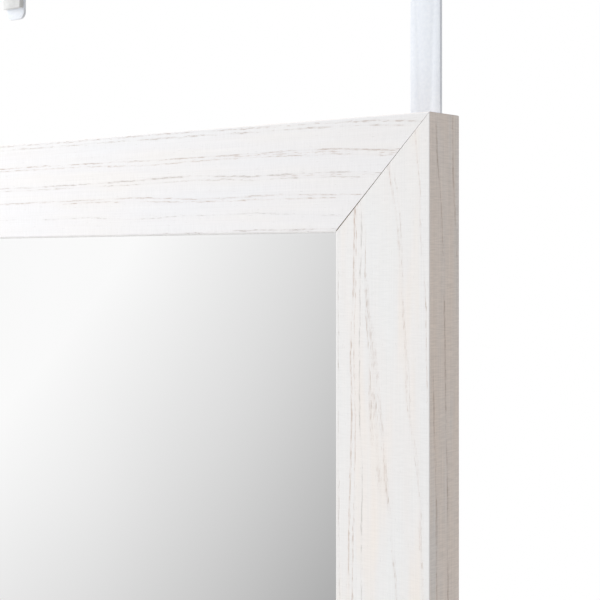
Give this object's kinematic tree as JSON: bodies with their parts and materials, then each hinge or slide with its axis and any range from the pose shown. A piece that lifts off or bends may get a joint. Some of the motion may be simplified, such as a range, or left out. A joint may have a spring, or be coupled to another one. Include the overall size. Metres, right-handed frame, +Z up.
{
  "type": "over the door mirror",
  "caption": "Tall framed mirror that hangs on a door's top edge by slotted steel hook straps, with a mitred white-washed wood-grain frame.",
  "frame": {"origin": "mount door_top: the door's top edge at its front face, midway between the hooks", "axes": "+Z up, +Y from the mirror through the door to its back, +X to the right of someone who looks into the mirror, which faces -Y"},
  "size_m": [0.36, 0.0777, 1.3898],
  "materials": {
    "frame_foil": "white-washed ash-grain foil wrapped round MDF, matt",
    "mirror": "silvered float glass",
    "foam": "closed-cell foam, matt",
    "hardboard": "raw hardboard",
    "plated_steel": "bright zinc plate",
    "powder_coat": "white powder coat, fine texture, semi-matt",
    "bumper_rubber": "translucent soft polyurethane"
  },
  "bodies": {
    "frame": {"top_rail": "frame_foil", "bottom_rail": "frame_foil", "left_stile": "frame_foil", "right_stile": "frame_foil", "corner_v_nails": "plated_steel", "mirror_pane": "mirror", "foam_sheet": "foam", "back_board": "hardboard", "retaining_points": "plated_steel", "left_hanger_screws": "plated_steel", "right_hanger_screws": "plated_steel", "left_hanger_washers": "plated_steel", "right_hanger_washers": "plated_steel", "upper_left_bumper": "bumper_rubber", "upper_right_bumper": "bumper_rubber", "lower_left_bumper": "bumper_rubber", "lower_right_bumper": "bumper_rubber"},
    "left_hook": {"left_hanger": "powder_coat", "left_hook_front_pad": "foam", "left_hook_seat_pad": "foam", "left_hook_rear_pad": "foam"},
    "right_hook": {"right_hanger": "powder_coat", "right_hook_front_pad": "foam", "right_hook_seat_pad": "foam", "right_hook_rear_pad": "foam"}
  },
  "joints": [
    {"name": "left_hanger_slide", "type": "slide", "parent": "frame", "child": "left_hook", "axis": [0, 0, 1], "range_m": [-0.02, 0.02]},
    {"name": "right_hanger_slide", "type": "slide", "parent": "frame", "child": "right_hook", "axis": [0, 0, 1], "range_m": [-0.02, 0.02]}
  ]
}
